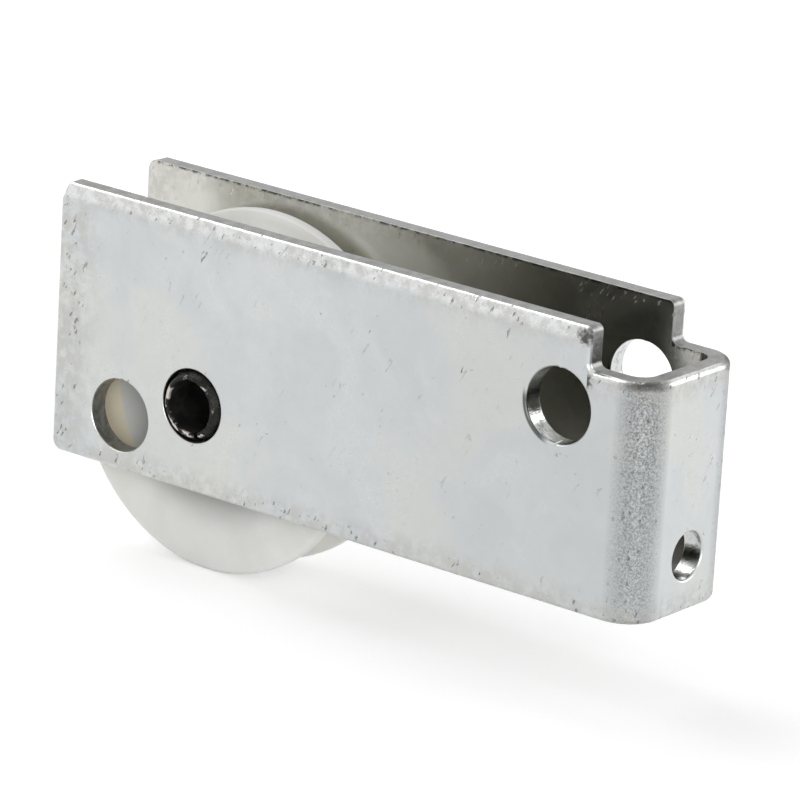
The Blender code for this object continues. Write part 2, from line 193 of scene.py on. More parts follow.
# Where a tone begins and ends on a surface, in millimetres
# Ranges of the painted shade and painted light inside the channel
CHANNEL_FADE_END = -10.0
LIFTED_X = (-18.0, -4.0)
LIFTED_DEPTH = (5.0, 12.0)
LOW_SHADE_X = (-4.0, 3.0)
LOW_SHADE_HEIGHT = (6.0, 11.0)
RIM_WIDTH = (0.8, 3.4)
# Painted shade round the wheel's hub
PAINTED_HUB_SHADE_RADII = (9.0, 15.5)
# Where the painted patch of warm light lies on the wheel
WARM_LIGHT_RADII = (12.7, 13.3)
WARM_LIGHT_X = (-11.0, -9.5)
WARM_LIGHT_Y = (7.5, 9.5)
FLOOR_FADE = (350.0, 900.0)
FACE_MARGIN = 0.3
WALL_MARGIN = 0.4

# Other measures of the marks
# Where the painted shade towards the web begins
WEB_SHADE_SHARE = 0.6  # of the way from the pivot to the open end
CHANNEL_FADE_SHARE = 0.43
END_RIM_SHARE = 0.45  # makes the soiled rim wider at the open end
BEND_GAIN = 2.1
SCUFF_FROM_STEP = 0.0004
SCUFF_DEPTH = 0.00095
# The side of the pivot hole's rim that gets painted shade
RIM_SHADE_SIDE_X = -0.85
RIM_SHADE_SIDE_Z = -0.53
SPOT_WOBBLE = 0.55
SPOT_WOBBLE_SCALE = 5
SPOT_CORE_SHARE = 0.45
SMALLEST_SPOT_SHARE = 0.3

MILLIMETRES = 1000

TURNED_TO_Y = Matrix.Rotation(math.radians(-90), 4, "X")


# Measures read from the frame

def middle_of(node):
    low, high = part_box(node)
    return (Vector(low) + Vector(high)) / 2


def radius_of(node):
    low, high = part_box(node)
    return (high[2] - low[2]) / 2


def half_width_of(node):
    low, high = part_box(node)
    return (high[1] - low[1]) / 2


def side_faces_of(node):
    """How far a ring's inner and outer faces lie from the middle of the wheel."""
    low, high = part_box(node)
    return sorted((abs(low[1]), abs(high[1])))


housing_low, housing_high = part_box("housing")
OPEN_END_X = housing_low[0]
WEB_X = housing_high[0]
LOWER_EDGE_Z = housing_low[2]
UPPER_EDGE_Z = housing_high[2]
PLATE_OUTER_Y = housing_high[1]
PLATE_INNER_Y = PLATE_OUTER_Y - SHEET_THICKNESS
STEP_X = WEB_X - NOTCH_LENGTH
NOTCH_Z = UPPER_EDGE_Z - NOTCH_DEPTH
BEND_CENTRE_X = WEB_X - BEND_RADIUS
BEND_CENTRE_Y = PLATE_OUTER_Y - BEND_RADIUS
AXLE = middle_of("nylon_tyre")
PIVOT = Vector((0, 0, 0))
SPARE_HOLE = Vector((OPEN_END_X + SPARE_HOLE_FROM_END, 0, LOWER_EDGE_Z + SPARE_HOLE_HEIGHT))
ADJUSTER_HOLE = Vector((WEB_X, ADJUSTER_HOLE_OFFSET, LOWER_EDGE_Z + ADJUSTER_HOLE_HEIGHT))
AXLE_FRAME = Matrix.Translation(AXLE) @ TURNED_TO_Y
PLATE_HOLES = (PIVOT, AXLE, SPARE_HOLE)
FLOOR_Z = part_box("nylon_tyre")[0][2]


# Shapes

def arc(centre, radius, start_deg, end_deg, steps):
    """Points on an arc, both ends included."""
    points = []
    for step in range(steps + 1):
        angle = math.radians(start_deg + (end_deg - start_deg) * step / steps)
        points.append((centre[0] + radius * math.cos(angle), centre[1] + radius * math.sin(angle)))
    return points


def rounded_outline(corners, steps):
    """A closed outline from (x, y, radius) corners, with an arc at each corner that has a radius."""
    points = []
    for index, (x, y, radius) in enumerate(corners):
        corner = Vector((x, y))
        if radius == 0:
            points.append(corner)
            continue
        before = (Vector(corners[index - 1][:2]) - corner).normalized()
        after = (Vector(corners[(index + 1) % len(corners)][:2]) - corner).normalized()
        half_angle = before.angle(after) / 2
        centre = corner + (before + after).normalized() * (radius / math.sin(half_angle))
        first = corner + before * (radius / math.tan(half_angle)) - centre
        last = corner + after * (radius / math.tan(half_angle)) - centre
        turn = first.angle_signed(last)
        for step in range(steps + 1):
            points.append(centre + Matrix.Rotation(-turn * step / steps, 2) @ first)
    return points


def link(name, data, matrix):
    obj = bpy.data.objects.new(name, data)
    bpy.context.scene.collection.objects.link(obj)
    obj.matrix_world = matrix
    return obj


def finished(shape, name):
    """The mesh of a bmesh, with its normals outward."""
    bmesh.ops.recalc_face_normals(shape, faces=shape.faces)
    mesh = bpy.data.meshes.new(name)
    shape.to_mesh(mesh)
    shape.free()
    return mesh


def prism(name, outline, length, matrix):
    """A closed outline given a length along its local Z, centred."""
    shape = bmesh.new()
    ends = []
    for height in (-length / 2, length / 2):
        ends.append([shape.verts.new((point[0], point[1], height)) for point in outline])
    shape.faces.new(reversed(ends[0]))
    shape.faces.new(ends[1])
    for index in range(len(outline)):
        following = (index + 1) % len(outline)
        shape.faces.new((ends[0][index], ends[0][following], ends[1][following], ends[1][index]))
    return link(name, finished(shape, name), matrix)


def lathe(name, profile, steps, matrix):
    """A closed profile of (radius, height) points turned about local Z."""
    shape = bmesh.new()
    rings = []
    for step in range(steps):
        angle = math.tau * step / steps
        rings.append(
            [shape.verts.new((r * math.cos(angle), r * math.sin(angle), h)) for r, h in profile]
        )
    for step in range(steps):
        ring = rings[step]
        other = rings[(step + 1) % steps]
        for index in range(len(profile)):
            following = (index + 1) % len(profile)
            shape.faces.new((ring[index], other[index], other[following], ring[following]))
    bmesh.ops.remove_doubles(shape, verts=shape.verts, dist=MERGE_DISTANCE)
    return link(name, finished(shape, name), matrix)


def cut(obj, cutter, operation="DIFFERENCE"):
    boolean = obj.modifiers.new(operation.title(), "BOOLEAN")
    boolean.operation = operation
    boolean.solver = "EXACT"
    boolean.object = cutter


def settle(obj, cutters=()):
    """Makes the modifiers' result the object's own mesh, and drops the cutters."""
    graph = bpy.context.evaluated_depsgraph_get()
    mesh = bpy.data.meshes.new_from_object(obj.evaluated_get(graph))
    obj.modifiers.clear()
    obj.data = mesh
    for cutter in cutters:
        bpy.data.objects.remove(cutter, do_unlink=True)


def smooth(obj, limit=None):
    obj.data.shade_smooth()
    if limit:
        obj.data.set_sharp_from_angle(angle=limit)


def dress(obj, body, node, slot, *materials):
    """Gives a piece its materials and its place in the frame."""
    for material in materials:
        obj.data.materials.append(material)
    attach(obj, body)
    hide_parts(node)


# Shader helpers

def mm(metres):
    return metres * MILLIMETRES


def new_material(name):
    material = bpy.data.materials.new(name)
    material.use_nodes = True
    tree = material.node_tree
    return material, tree, tree.nodes["Principled BSDF"]


def connect(tree, socket, value):
    """Links an input to another node's output, or gives it a constant."""
    if isinstance(value, bpy.types.NodeSocket):
        tree.links.new(value, socket)
    else:
        socket.default_value = value


def set_inputs(tree, node, values):
    for name, value in values.items():
        connect(tree, node.inputs[name], value)


def set_metal(tree, shader, tone, rough, normal):
    set_inputs(tree, shader, {"Base Color": tone, "Roughness": rough, "Metallic": 1.0, "Normal": normal})


def add(tree, kind, values=None, **settings):
    """A node with its settings and its inputs."""
    node = tree.nodes.new("ShaderNode" + kind)
    for name, value in settings.items():
        setattr(node, name, value)
    set_inputs(tree, node, values or {})
    return node


def split(tree, vector):
    return add(tree, "SeparateXYZ", {0: vector}).outputs


def vector_calc(tree, operation, first, second):
    return add(tree, "VectorMath", {0: first, 1: second}, operation=operation).outputs["Vector"]


def scaled(tree, vector, factor):
    return add(tree, "VectorMath", {0: vector, "Scale": factor}, operation="SCALE").outputs["Vector"]


def place_in_mm(tree):
    return scaled(tree, add(tree, "TexCoord").outputs["Object"], MILLIMETRES)


def stretched(tree, vector, scale=(1, 1, 1), offset=(0, 0, 0)):
    node = add(tree, "Mapping", {"Vector": vector, "Scale": scale, "Location": offset})
    return node.outputs["Vector"]


def slanted(tree, vector, degrees, length, width):
    """A flat layout turned and stretched, so that round marks on it become slanted strokes."""
    turn = (0.0, 0.0, math.radians(degrees))
    values = {"Vector": vector, "Rotation": turn, "Scale": (length, width, 1.0)}
    return add(tree, "Mapping", values, vector_type="TEXTURE").outputs["Vector"]


def noise(tree, vector, scale, detail=3.0, roughness=0.6, distortion=0.0):
    values = {"Vector": vector, "Scale": scale, "Detail": detail}
    values |= {"Roughness": roughness, "Distortion": distortion}
    return add(tree, "TexNoise", values).outputs["Fac"]


def patches(tree, vector, scale):
    return noise(tree, vector, scale, detail=2.0, roughness=0.55)


def ramp(tree, value, low, high, to_low=0.0, to_high=1.0, kind="LINEAR"):
    """Maps the range from low to high onto the one from to_low to to_high, and clamps there."""
    values = {"Value": value, "From Min": low, "From Max": high, "To Min": to_low, "To Max": to_high}
    return add(tree, "MapRange", values, interpolation_type=kind).outputs["Result"]


def spread(tree, value, low, high, to_low=0.0, to_high=1.0):
    """A ramp with soft ends."""
    return ramp(tree, value, low, high, to_low, to_high, "SMOOTHSTEP")


def calc(tree, operation, first, second=0.0):
    return add(tree, "Math", {0: first, 1: second}, operation=operation).outputs["Value"]


def times(tree, first, *others):
    for other in others:
        first = calc(tree, "MULTIPLY", first, other)
    return first


def largest(tree, first, *others):
    for other in others:
        first = calc(tree, "MAXIMUM", first, other)
    return first


def plus(tree, first, second):
    return calc(tree, "ADD", first, second)


def minus(tree, first, second):
    return calc(tree, "SUBTRACT", first, second)


def below(tree, value, limit):
    return calc(tree, "LESS_THAN", value, limit)


def above(tree, value, limit):
    return calc(tree, "GREATER_THAN", value, limit)


def lacking(tree, share):
    """What a share lacks of the whole."""
    return minus(tree, 1.0, share)


def squared(tree, value, centre=0.0):
    offset = minus(tree, value, centre)
    return times(tree, offset, offset)


def from_axis(tree, across, up, centre_across=0.0, centre_up=0.0):
    """The distance from an axis, in millimetres, with the axis given in metres."""
    across_squared = squared(tree, across, mm(centre_across))
    up_squared = squared(tree, up, mm(centre_up))
    return calc(tree, "SQRT", plus(tree, across_squared, up_squared))


def blend(tree, factor, first, second):
    """Mixes two colours by a factor."""
    node = add(tree, "Mix", {0: factor}, data_type="RGBA")
    for index, colour in ((6, first), (7, second)):
        is_linked = isinstance(colour, bpy.types.NodeSocket)
        connect(tree, node.inputs[index], colour if is_linked else (*colour, 1))
    return node.outputs[2]


def bump(tree, height, distance, strength, normal=None):
    values = {"Height": height, "Distance": distance, "Strength": strength}
    if normal:
        values["Normal"] = normal
    return add(tree, "Bump", values).outputs["Normal"]


def spots(tree, vector, scale, active, size):
    """Scattered irregular marks, 1 inside a mark. active is the share of cells that hold one."""
    wobble_values = {"Vector": vector, "Scale": scale * SPOT_WOBBLE_SCALE, "Detail": 3.0}
    wobble = add(tree, "TexNoise", wobble_values, noise_dimensions="2D").outputs["Color"]
    centred = vector_calc(tree, "SUBTRACT", wobble, (0.5, 0.5, 0.5))
    place = vector_calc(tree, "ADD", vector, scaled(tree, centred, SPOT_WOBBLE / scale))
    cells = add(tree, "TexVoronoi", {"Vector": place, "Scale": scale}, voronoi_dimensions="2D").outputs
    chance = split(tree, cells["Color"])
    reach = ramp(tree, chance[1], 0.0, 1.0, SMALLEST_SPOT_SHARE * size, size)
    nearness = calc(tree, "DIVIDE", cells["Distance"], reach)
    inside = spread(tree, nearness, SPOT_CORE_SHARE, 1.0, 1.0, 0.0)
    return times(tree, inside, below(tree, chance[0], active))


# Zones and marks of the zinc plate

def laid_flat(tree, x, y, z):
    """Where a point of the sheet lies before it is bent, in millimetres."""
    on_web = above(tree, x, mm(BEND_CENTRE_X))
    on_rear = above(tree, y, mm(BEND_CENTRE_Y))
    along = plus(tree, x, times(tree, y, on_web))
    along = plus(tree, along, times(tree, on_rear, 2 * mm(WEB_X - OPEN_END_X)))
    return add(tree, "CombineXYZ", {"X": along, "Y": z}).outputs["Vector"]


def measure_sheet(tree):
    """Where a point of the housing lies, in millimetres, and which zones of the sheet it is in."""
    place = place_in_mm(tree)
    x, y, z = split(tree, place)
    off_middle = calc(tree, "ABSOLUTE", y)
    beyond_step = above(tree, x, mm(STEP_X))
    top = ramp(tree, beyond_step, 0.0, 1.0, mm(UPPER_EDGE_Z), mm(NOTCH_Z))
    from_top = minus(tree, top, z)
    from_foot = minus(tree, z, mm(LOWER_EDGE_Z))
    from_end = times(tree, minus(tree, x, mm(OPEN_END_X)), END_RIM_SHARE)
    rim = calc(tree, "MINIMUM", calc(tree, "MINIMUM", from_top, from_foot), from_end)
    inner_y = below(tree, off_middle, mm(PLATE_INNER_Y) + FACE_MARGIN)
    inner_x = below(tree, x, mm(WEB_X - SHEET_THICKNESS) + FACE_MARGIN)
    round_x = ramp(tree, x, mm(BEND_CENTRE_X), mm(WEB_X))
    round_y = ramp(tree, off_middle, mm(BEND_CENTRE_Y), mm(PLATE_OUTER_Y))
    return SimpleNamespace(
        place=place, x=x, y=y, z=z, beyond_step=beyond_step, from_top=from_top, from_foot=from_foot,
        flat=laid_flat(tree, x, y, z),
        near_rim=spread(tree, rim, *RIM_WIDTH, 1.0, 0.0),
        inside=times(tree, inner_y, inner_x),
        bend=calc(tree, "MINIMUM", times(tree, round_x, round_y, BEND_GAIN), 1.0),
    )


def plate_tone(tree, sheet, cloud, mottle):
    """The cloudy tones of the plating, with painted shade that darkens it towards the web."""
    warm_place = stretched(tree, sheet.place, offset=(40, 12, 7))
    warm = noise(tree, warm_place, 0.06, roughness=0.5, distortion=0.8)
    tone = blend(tree, spread(tree, cloud, 0.36, 0.66), ZINC_COOL, ZINC_PALE)
    tone = blend(tree, spread(tree, warm, 0.48, 0.66, 0.0, 0.8), tone, ZINC_WARM)
    tone = blend(tree, spread(tree, mottle, 0.30, 0.72, 0.0, 0.20), tone, ZINC_MOTTLE)
    # Painted shade, deepening from part way along the plates to the bend
    shade_start = WEB_SHADE_SHARE * mm(OPEN_END_X)
    towards_web = ramp(tree, sheet.x, shade_start, mm(BEND_CENTRE_X), 0.0, 0.42)
    on_plates = spread(tree, sheet.x, mm(BEND_CENTRE_X), mm(WEB_X), 1.0, 0.0)
    return blend(tree, times(tree, towards_web, on_plates), tone, ZINC_PAINTED_SHADE_NEAR_WEB)


def channel_tone(tree, sheet, tone):
    """The inside of the channel: yellower, with painted shade that deepens towards the web and into the
    corner, is lifted by painted light near the top, and is darkest low down near the web.
    """
    tone = blend(tree, times(tree, sheet.inside, 0.85), tone, CHANNEL_YELLOW)
    # Painted shade deepening towards the web and into the corner, lifted by painted light near the top
    painted_channel_shade = spread(tree, sheet.x, CHANNEL_FADE_SHARE * mm(OPEN_END_X), CHANNEL_FADE_END, 0.0, 0.62)
    lit_above = spread(tree, sheet.from_top, *LIFTED_DEPTH, 0.30, 0.0)
    painted_channel_shade = minus(tree, painted_channel_shade, times(tree, spread(tree, sheet.x, *LIFTED_X), lit_above))
    in_corner = spread(tree, sheet.x, mm(BEND_CENTRE_X) - 0.5, mm(WEB_X) - 3.0, 0.0, 0.4)
    painted_channel_shade = plus(tree, painted_channel_shade, in_corner)
    tone = blend(tree, times(tree, sheet.inside, painted_channel_shade), tone, CHANNEL_PAINTED_SHADE)
    # Painted shade low down inside the channel, from the pivot to the web
    low_down = spread(tree, sheet.from_foot, *LOW_SHADE_HEIGHT, 0.9, 0.0)
    painted_low_shade = times(tree, spread(tree, sheet.x, *LOW_SHADE_X), low_down)
    return blend(tree, times(tree, sheet.inside, painted_low_shade), tone, CHANNEL_PAINTED_LOW_SHADE)


def burnished_edges(tree, sheet):
    """The upper edges, which the punch draws round and bright."""
    roll_depth = ramp(tree, sheet.beyond_step, 0.0, 1.0, mm(TOP_ROLL), mm(ROLLED_EDGE))
    burnished = spread(tree, calc(tree, "DIVIDE", sheet.from_top, roll_depth), 0.5, 1.1, 0.85, 0.0)
    return times(tree, burnished, lacking(tree, sheet.inside))


def bend_tone(tree, sheet, peel, tone):
    """The two bends: drawn over the die, which leaves them grainy and pitted, with painted shade on them
    that darkens towards the top.
    """
    # Painted shade on the bends, broken up by their grain and darker higher up
    grain_and_painted_shade = times(tree, sheet.bend, spread(tree, peel, 0.33, 0.68, 0.26, 1.0))
    painted_shade_rising = ramp(tree, sheet.z, mm(LOWER_EDGE_Z), mm(NOTCH_Z), 0.85, 1.15)
    tone = blend(tree, times(tree, grain_and_painted_shade, painted_shade_rising), tone, ZINC_PAINTED_BEND_SHADE)
    pits = spots(tree, stretched(tree, sheet.flat, offset=(5, 3, 0)), scale=0.75, active=0.40, size=0.24)
    return blend(tree, times(tree, pits, sheet.bend, 0.8), tone, ZINC_PIT)


def edge_dirt_and_painted_shade(tree, sheet, mottle):
    """Painted dark reflection under the rolled edge over the bends, dirt on the inner burr and at the
    step, and painted shade on the lower left of the pivot hole's rim.
    """
    # Painted dark reflection under the rolled edge over the bends
    under_roll = spread(tree, sheet.from_top, 0.35, 1.15, 1.0, 0.0)
    painted_bend_roll_shade = times(tree, under_roll, sheet.bend, spread(tree, mottle, 0.26, 0.44))
    at_edge = spread(tree, sheet.from_top, 0.12, 0.45, 1.0, 0.0)
    breaks = noise(tree, sheet.flat, 1.3, detail=4.0, roughness=0.7)
    burr = times(tree, at_edge, sheet.inside, spread(tree, breaks, 0.42, 0.58))
    from_step = minus(tree, mm(STEP_X - SCUFF_FROM_STEP), sheet.x)
    away = from_axis(tree, from_step, sheet.from_top, centre_up=SCUFF_DEPTH)
    ragged = spread(tree, noise(tree, sheet.flat, 1.8), 0.3, 0.7, -0.35, 0.35)
    scuff = spread(tree, plus(tree, away, ragged), 0.35, 1.25, 0.95, 0.0)
    scuff = times(tree, scuff, below(tree, sheet.y, 0.0))
    # Painted shade on the lower left of the pivot hole's rim
    from_pivot = from_axis(tree, sheet.x, sheet.z, PIVOT.x, PIVOT.z)
    rim_gap = minus(tree, from_pivot, mm(PLATE_HOLE_DIAMETER / 2))
    painted_shade_side = plus(tree, times(tree, sheet.x, RIM_SHADE_SIDE_X), times(tree, sheet.z, RIM_SHADE_SIDE_Z))
    painted_rim_shade = times(tree, spread(tree, rim_gap, 0.30, 0.55, 0.9, 0.0), spread(tree, painted_shade_side, 2.9, 3.7))
    return painted_bend_roll_shade, scuff, largest(tree, painted_bend_roll_shade, burr, scuff, painted_rim_shade)


def nick_marks(tree, sheet, handled):
    """Nicks from handling: a few large ones, crowds along the edges and the web, and fine ones."""
    aslant = slanted(tree, sheet.flat, degrees=62, length=1.6, width=0.62)
    large = spots(tree, stretched(tree, aslant, offset=(3, 9, 0)), scale=0.25, active=0.26, size=0.11)
    crowd_zone = spread(tree, patches(tree, sheet.flat, 0.11), 0.40, 0.54, 0.4, 1.0)
    on_web = above(tree, sheet.x, mm(BEND_CENTRE_X))
    crowd = largest(
        tree, times(tree, sheet.near_rim, crowd_zone), times(tree, sheet.near_rim, on_web, 0.8)
    )
    crowded = below(tree, patches(tree, sheet.flat, 1.7), times(tree, crowd, 0.66))
    crowded = times(tree, crowded, spots(tree, aslant, scale=0.85, active=0.75, size=0.24))
    fine = spots(tree, stretched(tree, sheet.flat, offset=(1, 2, 0)), scale=0.8, active=0.20, size=0.13)
    nick = largest(tree, large, crowded, times(tree, fine, 0.6))
    exposed = times(tree, handled, spread(tree, sheet.inside, 0.0, 1.0, 1.0, 0.2))
    return times(tree, nick, exposed)


def scratch_marks(tree, sheet, handled):
    """Fine handling scratches: slanted scores and long upright hairlines."""
    strokes = slanted(tree, sheet.flat, degrees=58, length=2.2, width=0.36)
    score = times(tree, spots(tree, strokes, scale=0.34, active=0.30, size=0.13), handled)
    upright = stretched(tree, sheet.flat, (7.0, 0.10, 1.0), offset=(0, 5, 0))
    hair = noise(tree, upright, 1.0, detail=2.0, distortion=0.15)
    hair = times(tree, spread(tree, hair, 0.72, 0.82, 0.0, 0.3), lacking(tree, sheet.bend))
    return largest(tree, score, hair)


# Materials

def zinc_face_material():
    """Satin zinc plate with cloudy tones, handling nicks and grainy bends, with painted shade towards
    the web, on the bends, in the channel and round the pivot hole.
    """
    material, tree, shader = new_material("zinc_plated_face")
    sheet = measure_sheet(tree)
    cloud = noise(tree, sheet.place, 0.13, detail=4.0, roughness=0.55, distortion=0.6)
    mottle = noise(tree, sheet.place, 0.9, detail=4.0, roughness=0.65)
    grain = noise(tree, sheet.place, 5.5)
    peel = noise(tree, sheet.place, 4.6, detail=4.0, roughness=0.8)
    often_held = spread(tree, patches(tree, sheet.flat, 0.10), 0.50, 0.60, 0.25, 1.0)
    handled = largest(tree, sheet.near_rim, often_held)
    soiled = times(tree, sheet.near_rim, spread(tree, mottle, 0.35, 0.62, 0.0, 0.5))
    burnished = burnished_edges(tree, sheet)
    painted_bend_roll_shade, scuff, dirt_and_painted_shade = edge_dirt_and_painted_shade(tree, sheet, mottle)
    nick = nick_marks(tree, sheet, handled)
    scratch = scratch_marks(tree, sheet, handled)

    tone = plate_tone(tree, sheet, cloud, mottle)
    tone = channel_tone(tree, sheet, tone)
    tone = blend(tree, burnished, tone, ZINC_BURNISHED)
    tone = bend_tone(tree, sheet, peel, tone)
    tone = blend(tree, soiled, tone, SOIL)
    # Dirt, and painted shade over the bends' rolled edges and round the pivot hole
    tone = blend(tree, dirt_and_painted_shade, tone, DIRT_AND_PAINTED_SHADE)
    tone = blend(tree, times(tree, nick, 0.75), tone, NICK)
    tone = blend(tree, times(tree, scratch, 0.6), tone, SCRATCH)

    rough = spread(tree, cloud, 0.3, 0.7, 0.36, 0.26)
    rougher = ((nick, 0.25), (sheet.bend, 0.06), (largest(tree, painted_bend_roll_shade, scuff), 0.25))
    smoother = ((sheet.inside, -0.08), (burnished, -0.10))
    for mark, change in (*rougher, *smoother):
        rough = plus(tree, rough, times(tree, mark, change))

    rolled = times(tree, spread(tree, sheet.from_top, 0.3, 2.4, 1.0, 0.0), lacking(tree, sheet.inside))
    dimples = times(tree, noise(tree, sheet.place, 1.3, detail=4.0, roughness=0.65), rolled)
    normal = bump(tree, cloud, CLOUD_DEPTH, 0.4)
    normal = bump(tree, grain, GRAIN_DEPTH, 0.5, normal)
    normal = bump(tree, dimples, DIMPLE_DEPTH, 0.7, normal)
    normal = bump(tree, times(tree, peel, sheet.bend), PEEL_DEPTH, 0.7, normal)
    normal = bump(tree, lacking(tree, nick), NICK_DEPTH, 0.7, normal)
    normal = bump(tree, lacking(tree, scratch), SCRATCH_DEPTH, 0.5, normal)
    set_metal(tree, shader, tone, rough, normal)
    return material


def zinc_cut_material():
    """The sheared edges and hole walls: plated over, duller, with the die's drag lines."""
    material, tree, shader = new_material("zinc_plated_cut")
    place = place_in_mm(tree)
    x, y, z = split(tree, place)
    drag = noise(tree, stretched(tree, place, (6.0, 0.5, 6.0)), 1.0)
    stain = noise(tree, place, 0.8, detail=4.0, roughness=0.7, distortion=0.4)
    tone = blend(tree, spread(tree, stain, 0.34, 0.64), CUT_DARK, CUT_PALE)
    tone = blend(tree, spread(tree, drag, 0.45, 0.75, 0.0, 0.4), tone, CUT_DRAG)
    rough = spread(tree, stain, 0.3, 0.7, 0.28, 0.42)

    # The punch burnishes the walls of the pivot and adjuster holes
    from_adjuster = from_axis(tree, y, z, ADJUSTER_HOLE.y, ADJUSTER_HOLE.z)
    adjuster_wall = below(tree, from_adjuster, mm(ADJUSTER_HOLE_DIAMETER / 2) + WALL_MARGIN)
    adjuster_wall = times(tree, adjuster_wall, above(tree, x, mm(BEND_CENTRE_X)))
    from_pivot = from_axis(tree, x, z, PIVOT.x, PIVOT.z)
    pivot_wall = below(tree, from_pivot, mm(PLATE_HOLE_DIAMETER / 2) + WALL_MARGIN)
    wall = largest(tree, adjuster_wall, pivot_wall)
    bright = spread(tree, stain, 0.30, 0.52, 0.35, 1.0)
    tone = blend(tree, times(tree, wall, bright), tone, PUNCHED_WALL)
    rough = minus(tree, rough, times(tree, wall, 0.18))

    normal = bump(tree, drag, DRAG_DEPTH, 0.6)
    normal = bump(tree, stain, STAIN_DEPTH, 0.5, normal)
    set_metal(tree, shader, tone, rough, normal)
    return material


def black_steel_material():
    """Oiled black oxide on spring steel, worn to bare metal in streaks where the ends were cropped."""
    material, tree, shader = new_material("oiled_black_steel")
    place = place_in_mm(tree)
    x, y, z = split(tree, place)
    end = mm(half_width_of("axle_spring_pin"))
    bore = mm(radius_of("axle_spring_pin") - PIN_WALL)
    along = calc(tree, "ABSOLUTE", z)
    at_end = spread(tree, along, end - 0.42, end - 0.12)
    near_end = spread(tree, along, end - 1.4, end - 0.9)
    radius = from_axis(tree, x, y)
    outside_bore = spread(tree, radius, bore - 0.02, bore + 0.12)
    heading = {"X": calc(tree, "DIVIDE", x, radius), "Y": calc(tree, "DIVIDE", y, radius), "Z": radius}
    turned = add(tree, "CombineXYZ", heading).outputs["Vector"]
    patch = noise(tree, place, 0.9, detail=4.0, distortion=0.5)
    ripple = noise(tree, place, 1.6, distortion=0.8)
    round_rim = stretched(tree, turned, (1.7, 1.7, 1.1))
    streak = noise(tree, round_rim, 1.0, detail=2.5, distortion=0.4)
    wear = times(tree, at_end, spread(tree, streak, 0.50, 0.58))
    tone = blend(tree, spread(tree, patch, 0.35, 0.7), OXIDE_BLACK, OXIDE_BROWN)
    tone = blend(tree, wear, tone, BARE_STEEL)
    rough = minus(tree, spread(tree, patch, 0.3, 0.7, 0.56, 0.74), times(tree, outside_bore, 0.4))
    crumpled = times(tree, ripple, near_end, outside_bore)
    set_inputs(
        tree,
        shader,
        {
            "Base Color": tone,
            "Roughness": rough,
            "Metallic": times(tree, wear, 0.9),
            "Specular IOR Level": 0.18,
            "Normal": bump(tree, crumpled, CRUMPLE_DEPTH, 0.8),
        },
    )
    return material


def nylon_material():
    """Natural white nylon, slightly translucent, with painted shade round the hub and a painted patch of
    warm light.
    """
    material, tree, shader = new_material("natural_nylon")
    place = place_in_mm(tree)
    x, y, _ = split(tree, place)
    radius = from_axis(tree, x, y)
    flow = noise(tree, place, 0.14, roughness=0.5, distortion=0.8)
    speck = noise(tree, place, 2.4, detail=4.0, roughness=0.65)
    wave = noise(tree, place, 1.1)
    tone = blend(tree, spread(tree, flow, 0.35, 0.68), NYLON_DULL, NYLON_PALE)
    tone = blend(tree, spread(tree, speck, 0.62, 0.80, 0.0, 0.25), tone, NYLON_SPECK)
    # Painted shade round the hub
    tone = blend(tree, spread(tree, radius, *PAINTED_HUB_SHADE_RADII, 0.82, 0.0), tone, NYLON_PAINTED_HUB_SHADE)
    # A painted patch of warm light on one side of the wheel
    painted_warm_light = times(tree, spread(tree, radius, *WARM_LIGHT_RADII), spread(tree, x, *WARM_LIGHT_X, 1.0, 0.0))
    painted_warm_light = times(tree, painted_warm_light, spread(tree, y, *WARM_LIGHT_Y, 1.0, 0.0))
    tone = blend(tree, painted_warm_light, tone, NYLON_PAINTED_WARM_LIGHT)
    set_inputs(
        tree,
        shader,
        {
            "Base Color": tone,
            "Roughness": spread(tree, flow, 0.3, 0.7, 0.50, 0.62),
            "Subsurface Weight": 0.6,
            "Subsurface Radius": (1.0, 0.90, 0.66),
            "Subsurface Scale": 0.0026,
            "Normal": bump(tree, wave, NYLON_WAVE_DEPTH, 0.5),
        },
    )
    return material


def turned_steel_material(name, tones, roughness, ring_depth):
    """Steel finished on a lathe or grinder: fine rings round local Z and soft stains."""
    material, tree, shader = new_material(name)
    place = place_in_mm(tree)
    x, y, z = split(tree, place)
    rings = add(tree, "CombineXYZ", {"X": from_axis(tree, x, y), "Y": z}).outputs["Vector"]
    line = noise(tree, rings, 9.0)
    stain = noise(tree, place, 0.5, distortion=0.5)
    tone = blend(tree, spread(tree, stain, 0.3, 0.7), *tones)
    rough = spread(tree, line, 0.3, 0.7, roughness * 0.8, roughness * 1.25)
    set_metal(tree, shader, tone, rough, bump(tree, line, ring_depth, 0.5))
    return material


def pressed_steel_material(name, tones, roughness):
    """Bright strip steel as it leaves the press: soft stains and a fine rolled grain."""
    material, tree, shader = new_material(name)
    place = place_in_mm(tree)
    stain = noise(tree, place, 0.8, detail=4.0, distortion=0.4)
    grain = noise(tree, stretched(tree, place, (1.0, 1.0, 8.0)), 3.0)
    tone = blend(tree, spread(tree, stain, 0.3, 0.7), *tones)
    rough = spread(tree, grain, 0.3, 0.7, roughness * 0.85, roughness * 1.2)
    set_metal(tree, shader, tone, rough, bump(tree, grain, STRIP_GRAIN_DEPTH, 0.5))
    return material


# Pieces

def near(value, target):
    return abs(value - target) < TOUCHING


def on_outer_side(place):
    """True where a point of the housing lies on the outer face of the bent sheet."""
    reach_x = place.x - BEND_CENTRE_X
    reach_y = abs(place.y) - BEND_CENTRE_Y
    if reach_x > 0 and reach_y > 0:
        return math.hypot(reach_x, reach_y) > BEND_RADIUS - SHEET_THICKNESS / 2
    return near(abs(place.y), PLATE_OUTER_Y) or near(place.x, WEB_X)


def on_plate_hole(place):
    """True where a point of the housing lies on the wall of a hole through a side plate."""
    reach = PLATE_HOLE_DIAMETER / 2 + HOLE_FLARE + TOUCHING
    return any(math.hypot(place.x - centre.x, place.z - centre.z) < reach for centre in PLATE_HOLES)


